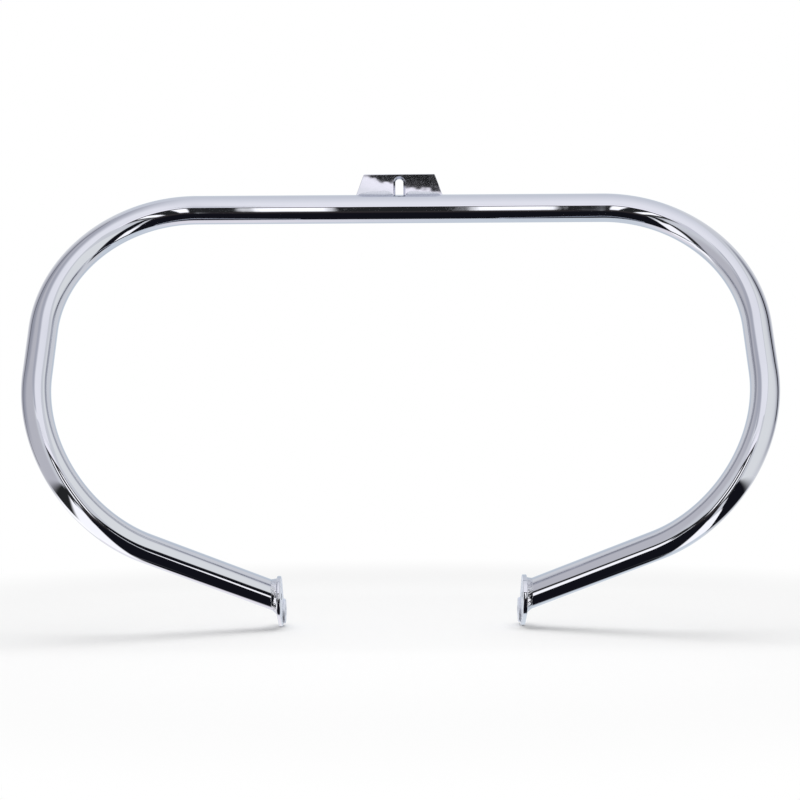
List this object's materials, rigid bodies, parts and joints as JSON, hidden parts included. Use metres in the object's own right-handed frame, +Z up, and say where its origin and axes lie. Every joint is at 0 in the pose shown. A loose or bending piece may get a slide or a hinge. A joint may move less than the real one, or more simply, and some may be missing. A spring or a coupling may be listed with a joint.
{
  "type": "motorcycle crash bar",
  "caption": "Chrome-plated tubular engine guard hoop for a motorcycle, with bolt-on lower feet and a slotted upper tab.",
  "frame": {"origin": "middle of the upper tab's slot, on the tab's rear face, where the upper bolt clamps; it lies on the hoop's middle plane", "axes": "+X to the right seen from the front, along the top bar; +Y back towards the engine; +Z up"},
  "size_m": [0.813, 0.1768, 0.5097],
  "materials": {
    "chrome_tube": "mirror-polished chrome plate",
    "chrome_plate": "chrome over plate that was less finely polished",
    "chrome_weld": "chrome over rippled weld beads"
  },
  "bodies": {
    "root": {"guard_tube": "chrome_tube", "left_foot": "chrome_plate", "right_foot": "chrome_plate", "left_foot_weld": "chrome_weld", "right_foot_weld": "chrome_weld", "top_tab": "chrome_plate", "tab_front_weld": "chrome_weld", "tab_rear_weld": "chrome_weld"}
  },
  "joints": []
}
